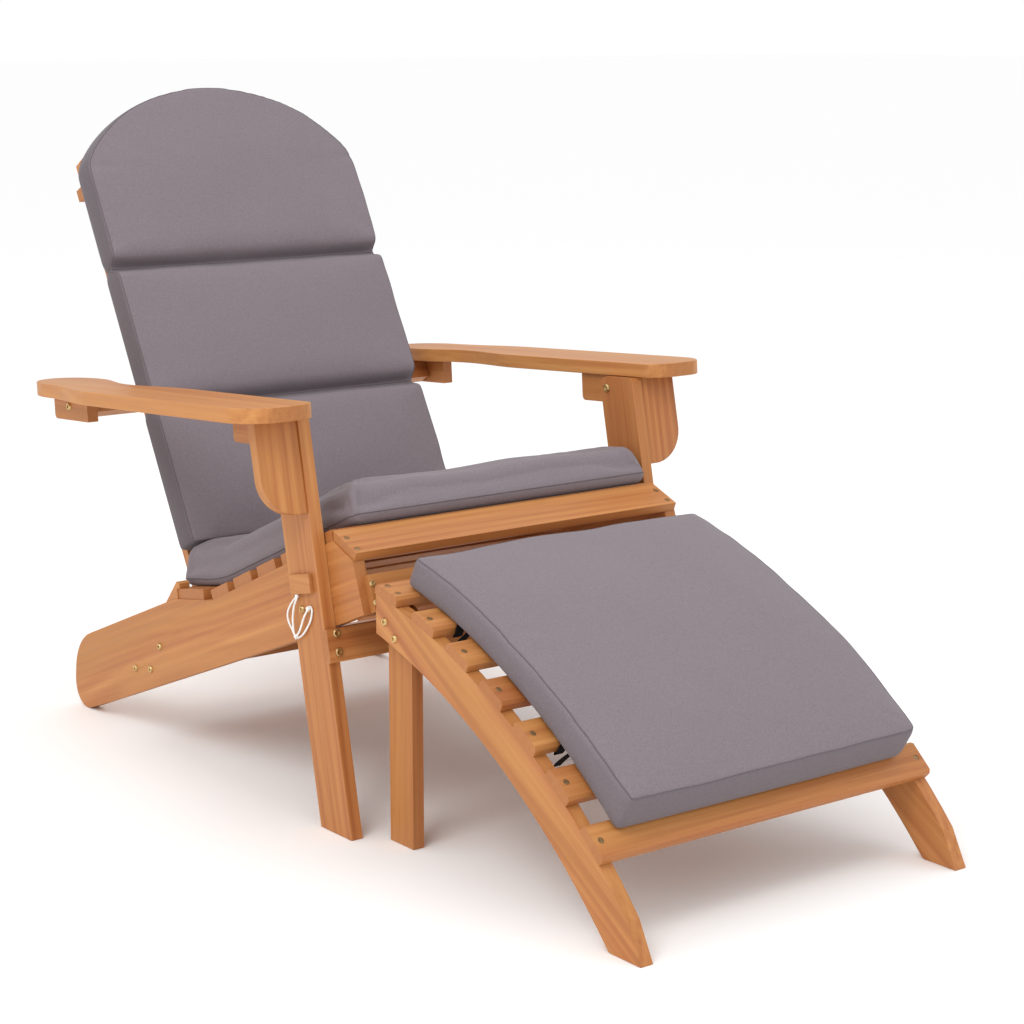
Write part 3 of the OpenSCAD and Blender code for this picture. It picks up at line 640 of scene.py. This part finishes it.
def stuffed_pad(name, outline, rings, seam, place, channels=(), tucks=(), lean=0.0, voxel=0.0052, swell=0.012,
                pressure=4.0, seed=1):
    """A sewn cushion: a flat (x, s) outline, stuffed by simulation, then bent into place.

    rings are (height, inset) pairs from the underside up; the last one bounds the top panel.
    seam is the (height, inset) of the stitched line round it, and channels are the s values of
    seams sewn across the top panel, tucks those of short folds at its sides. lean shears the
    pad sideways, by metres over its height.
    place maps flat points (x, s, height) into the frame. Returns the pad and its stitched lines.
    """
    count = len(outline)
    levels = [np.column_stack([inset(outline, by), np.full(count, height)]) for height, by in rings]
    top_height = rings[-1][0]
    last = len(rings) * count
    faces = [tuple(reversed(range(count))), tuple(range(last - count, last))]
    faces += [(r * count + i, r * count + (i + 1) % count, (r + 1) * count + (i + 1) % count, (r + 1) * count + i)
              for r in range(len(rings) - 1) for i in range(count)]
    pad = new_object(name, np.vstack(levels), faces)
    remesh = pad.modifiers.new("remesh", "REMESH")
    remesh.mode, remesh.voxel_size = "VOXEL", voxel
    apply_modifiers(pad)

    points = get_points(pad.data)
    edge = distance_to_outline(points[:, :2], outline)
    rise = np.clip(points[:, 2] / top_height, 0, 1)
    on_seam = (np.abs(edge - seam[1]) < voxel * 0.8) & (np.abs(points[:, 2] - seam[0]) < voxel * 0.9)
    pinned = on_seam | ((edge < voxel * 1.5) & (points[:, 2] < voxel))
    for s in channels:
        off = points[:, 1] - s
        points[:, 2] -= ridge(off, CHANNEL_WIDTH) * CHANNEL_DEPTH * top_height * np.clip(rise * 2 - 1, 0, 1)
        points[:, 0] -= np.sign(points[:, 0]) * CHANNEL_GATHER * ridge(off, CHANNEL_WIDTH) * (edge < 0.02)
        pinned |= (np.abs(off) < voxel * 0.7) & (points[:, 2] > top_height * 0.3)
    set_points(pad.data, points)
    inflate(pad, pinned, swell, pressure)

    # soft puckers run in from the seams, and the underside stays flat where it rests
    points = get_points(pad.data)
    near = np.exp(-edge / PUCKER_REACH)
    for s in channels:
        near = np.maximum(near, np.exp(-np.abs(points[:, 1] - s) / PUCKER_REACH))
    ripple = waves(points * [1, 1, 0.2], seed, 0.06) * 0.0011 * near + waves(points, seed + 5, 0.2) * 0.0018
    for s in tucks:
        slanted = points[:, 1] - s - 0.1 * (np.abs(points[:, 0]) - 0.2)
        ripple -= TUCK_DEPTH * ridge(slanted, TUCK_WIDTH) * np.exp(-edge / 0.04)
    points[:, 2] += ripple * (points[:, 2] > top_height * 0.5)
    points[:, 2] = np.maximum(points[:, 2], 0.0006 * (1 + waves(points, seed + 9, 0.03)))
    set_points(pad.data, points)
    subdivide = pad.modifiers.new("smooth", "SUBSURF")
    subdivide.levels = subdivide.render_levels = 1
    apply_modifiers(pad)
    pad.data.shade_smooth()

    # stitched lines lie in the surface: one round the top panel and one along each channel
    tree = BVHTree.FromObject(pad, bpy.context.evaluated_depsgraph_get())
    ring = resample(inset(outline, seam[1]), 0.003)
    lines = [("round", np.column_stack([ring, np.full(len(ring), seam[0])]), True)]
    half_width = np.abs(outline[:, 0]).max()
    for number, s in enumerate(channels):
        x = np.linspace(CHANNEL_GATHER - half_width, half_width - CHANNEL_GATHER, 150)
        across = np.column_stack([x, np.full(len(x), s), np.full(len(x), 0.4 * top_height)])
        lines.append(("across_%d" % number, across, False))
    stitches = []
    for word, line, closed in lines:
        for s in channels:
            line[:, 2] -= ridge(line[:, 1] - s, CHANNEL_WIDTH) * CHANNEL_DEPTH * top_height * (word == "round")
        snapped = np.array([tree.find_nearest(Vector(p))[0] for p in line])
        stitch = tube(name + "_seam_" + word, snapped, STITCH_RADIUS, 6, closed=closed)
        stitches.append(stitch)
    for piece in [pad, *stitches]:
        points = get_points(piece.data)
        points[:, 0] += lean * (points[:, 2] / top_height - 0.5)
        set_points(piece.data, place(points))
    return pad, stitches


def finish_cushion(pad, stitches, body, node, material, squash=None):
    for piece in [pad, *stitches]:
        piece.data.materials.append(material if piece is pad else seam_cloth)
        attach(piece, body)
        if squash:
            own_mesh(piece)
    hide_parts(node)


def along_path(start, slopes, reach):
    """Side view points and directions of a path that turns from one slope to the next."""
    def follow(s):
        s = np.asarray(s, float)
        fine = np.linspace(-0.05, reach, 400)
        angle = np.full(len(fine), slopes[0][1])
        for (at, slope), (_, before) in zip(slopes[1:], slopes):
            t = np.clip((fine - at + 0.05) / 0.10, 0, 1)
            angle += (slope - before) * t * t * (3 - 2 * t)
        step = np.diff(fine, prepend=fine[0])
        run = np.column_stack([np.cumsum(np.cos(angle) * step), np.cumsum(np.sin(angle) * step)])
        run -= [np.interp(0, fine, run[:, 0]), np.interp(0, fine, run[:, 1])]
        at = np.column_stack([np.interp(s, fine, run[:, i]) for i in (0, 1)]) + start
        turn = np.interp(s, fine, angle)
        return at, np.column_stack([-np.sin(turn), np.cos(turn)])
    return follow


seat_path = along_path(np.array([69.5, 402.8]) * MM, [(0, -SEAT_SLOPE), (0.352, -STEP_SLOPE)], 0.6)


def place_seat(points):
    """The seat cushion has slid askew: its front end lies nearer to the left leg and a little forward."""
    front = np.clip(1 - points[:, 1] / 0.45, 0, 1)
    x = points[:, 0] + 0.002 + 0.012 * front
    s = points[:, 1] - 0.009 * front
    side, normal = seat_path(s)
    return in_frame(x, side + normal * points[:, 2:])


def place_back(points):
    side = SLAT_FACE + points[:, 1:2] * BACK_UP - (points[:, 2:] + 0.0005) * BACK_REAR
    return in_frame(points[:, 0], side)


FOOT_PAD_START = math.radians(102.4)
FOOT_PAD_RADIUS = 0.9136


def place_foot(points):
    """The footrest cushion lies on the arch, its low end fuller and that end's face leaning back."""
    low_end = np.clip((points[:, 1] - 0.29) / 0.20, 0, 1)
    height = points[:, 2] * (1 + 0.20 * low_end)
    s = points[:, 1] - 0.32 * points[:, 2] * low_end ** 2
    angle = FOOT_PAD_START + s / (FOOT_PAD_RADIUS + 0.02)
    outward = np.column_stack([np.cos(angle), np.sin(angle)])
    return in_frame(points[:, 0], ARCH_CENTRE + outward * (FOOT_PAD_RADIUS + height[:, None]))


def back_outline(half_width, low, shoulder, rise, spread):
    """The back cushion: straight sides and an arched top, anticlockwise."""
    arch = []
    for a in np.linspace(math.pi / 2, -math.pi / 2, 60):
        x = half_width * math.sin(a)
        arch.append((x, shoulder + rise * math.sqrt(max(0, 1 - (x / spread) ** 2))))
    corner = 0.007
    lower = [(-half_width + corner - corner * math.cos(a), low + corner - corner * math.sin(a))
             for a in np.linspace(0, math.pi / 2, 5)]
    lower += [(half_width - corner + corner * math.sin(a), low + corner - corner * math.cos(a))
              for a in np.linspace(0, math.pi / 2, 5)]
    outline = resample(np.array(arch + lower), 0.005)
    for _ in range(8):
        softer = (np.roll(outline, 1, 0) + 2 * outline + np.roll(outline, -1, 0)) / 4
        outline = np.where(outline[:, 1:] > 0.1, softer, outline)
    return outline


seat_cloth = cloth("cloth_seat", SEAT_AXIS)
back_cloth = cloth("cloth_back", BACK_AXIS, painted_side_shade=0.45, face=(0, -BACK_REAR[0], -BACK_REAR[1]))
foot_cloth = cloth("cloth_footrest", FOOT_RAIL_AXIS, painted_side_shade=0.22, face=FOOT_FACE)

seam_cloth = cloth("cloth_seam", UP, (0.135, 0.112, 0.124))

seat_pad, seat_seams = stuffed_pad(
    "seat_pad", rounded_outline(0.2515, 0.464, 0.014, 0.0), [(0.001, 0.005), (0.007, 0.001), (0.013, -0.002),
    (0.030, -0.001), (0.047, 0.0005), (0.055, 0.004), (0.059, 0.010)], (0.0125, -0.002), place_seat, swell=0.009,
    seed=3)
finish_cushion(seat_pad, seat_seams, "seat_frame", "seat_cushion", seat_cloth, {
    "joint": "back_fold", "axis": (0, math.sin(0.358), math.cos(0.358)), "anchor": tuple(frame_point(0, 66, 404)),
    "keep": 0.3})

back_pad, back_seams = stuffed_pad(
    "back_pad", back_outline(0.241, -0.436, 0.084, 0.213, 0.266), [(0.001, 0.003), (0.006, 0), (0.020, 0),
    (0.038, 0.0025), (0.0435, 0.0045)], (0.0425, 0.004), place_back, channels=(0.0075, -0.2165), tucks=(0.165,),
    swell=0.010, seed=11)
finish_cushion(back_pad, back_seams, "back", "back_cushion", back_cloth, {
    "joint": "back_fold", "axis": (0, -BACK_REAR[0], -BACK_REAR[1]),
    "anchor": (0, SLAT_FACE[0] + FEET_Y, SLAT_FACE[1]), "keep": 0.3})

foot_pad, foot_seams = stuffed_pad(
    "foot_pad", rounded_outline(0.238, 0.487, 0.009, -0.002), [(0.001, 0.004), (0.007, 0), (0.034, 0.001),
    (0.0415, 0.002)], (0.0405, 0.0015), place_foot, lean=0.008, swell=0.008, seed=21)
finish_cushion(foot_pad, foot_seams, "footrest", "footrest_cushion", foot_cloth)

# ---------------------------------------------------------------- tie straps

STRAP_WIDTH, STRAP_THICK = 0.012, 0.0014
STRAP_X, STRAP_END_X = 0.232, 0.214
STRAP_SLANT = 0.045  # a loop runs inward by this much under its slat
STRAP_ROWS = ((2, 107.8), (5, 122.35))  # slat number and its angle on the arch in degrees
SLAT_SPAN = math.radians(3.05)  # angle on the arch that one slat takes up
SLAT_TOP, SLAT_UNDER = 0.913, 0.899  # radii of a slat's faces


def webbing_material():
    g = Graph("black_webbing")
    rib = g.math("SINE", g.math("MULTIPLY", g.dot(g.place, (1, 0, 0)), 2 * math.pi / 0.0016))
    fibre = g.noise(g.place, 700, 3, 0.6)
    color = g.mix(g.range(fibre, 0.3, 0.7), (0.003, 0.003, 0.003), (0.009, 0.009, 0.009))
    return g.finish(color, 0.75, g.bump(g.math("ADD", rib, fibre), 0.3, 0.0004), Specular_IOR_Level=0.2)


def ribbon(name, x, route):
    """A flat strap about x, following a route of (radius, angle, sideways step) on the arch."""
    path = smooth_route(route, 5)
    radius, angle, step = path[:, :1], path[:, 1:2], path[:, 2]
    line = np.hstack([radius * np.cos(angle), radius * np.sin(angle)])
    along = np.gradient(line, axis=0)
    along /= np.linalg.norm(along, axis=1)[:, None]
    across = np.column_stack([-along[:, 1], along[:, 0]]) * STRAP_THICK / 2
    low_x, high_x = x - STRAP_WIDTH / 2, x + STRAP_WIDTH / 2
    corners = [(low_x, -1), (high_x, -1), (high_x, 1), (low_x, 1)]
    rings = [in_frame(at + step, ARCH_CENTRE + line + side * across) for at, side in corners]
    count = len(line)
    faces = [(c * count + i, c * count + i + 1, (c + 1) % 4 * count + i + 1, (c + 1) % 4 * count + i)
             for c in range(4) for i in range(count - 1)]
    faces += [(0, count, 2 * count, 3 * count), (4 * count - 1, 3 * count - 1, 2 * count - 1, count - 1)]
    strap = new_object(name, np.vstack(rings), faces, smooth=False)
    strap.data.materials.append(webbing)
    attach(strap, "footrest")


webbing = webbing_material()
for side, word in ((-1, "right"), (1, "left")):
    for row, middle in STRAP_ROWS:
        a, half = math.radians(middle), SLAT_SPAN / 2 + 0.0022
        inward = -side * STRAP_SLANT
        ribbon("strap_%d_%s" % (row, word), side * STRAP_X, [
            (SLAT_TOP + 0.001, a - half, inward), (SLAT_UNDER, a - half, inward),
            (SLAT_UNDER - 0.0022, a - half * 0.9, inward * 0.9), (SLAT_UNDER - 0.0024, a, inward * 0.5),
            (SLAT_UNDER - 0.0022, a + half * 0.9, 0), (SLAT_UNDER, a + half, 0), (SLAT_TOP + 0.001, a + half, 0)])
        ribbon("strap_end_%d_%s" % (row, word), side * STRAP_END_X, [
            (SLAT_TOP + 0.001, a + half + 0.006, 0), (SLAT_TOP - 0.006, a + half + 0.009, side * 0.006),
            (SLAT_UNDER, a + half + 0.011, side * 0.018), (SLAT_UNDER - 0.010, a + half + 0.012, side * 0.026)])
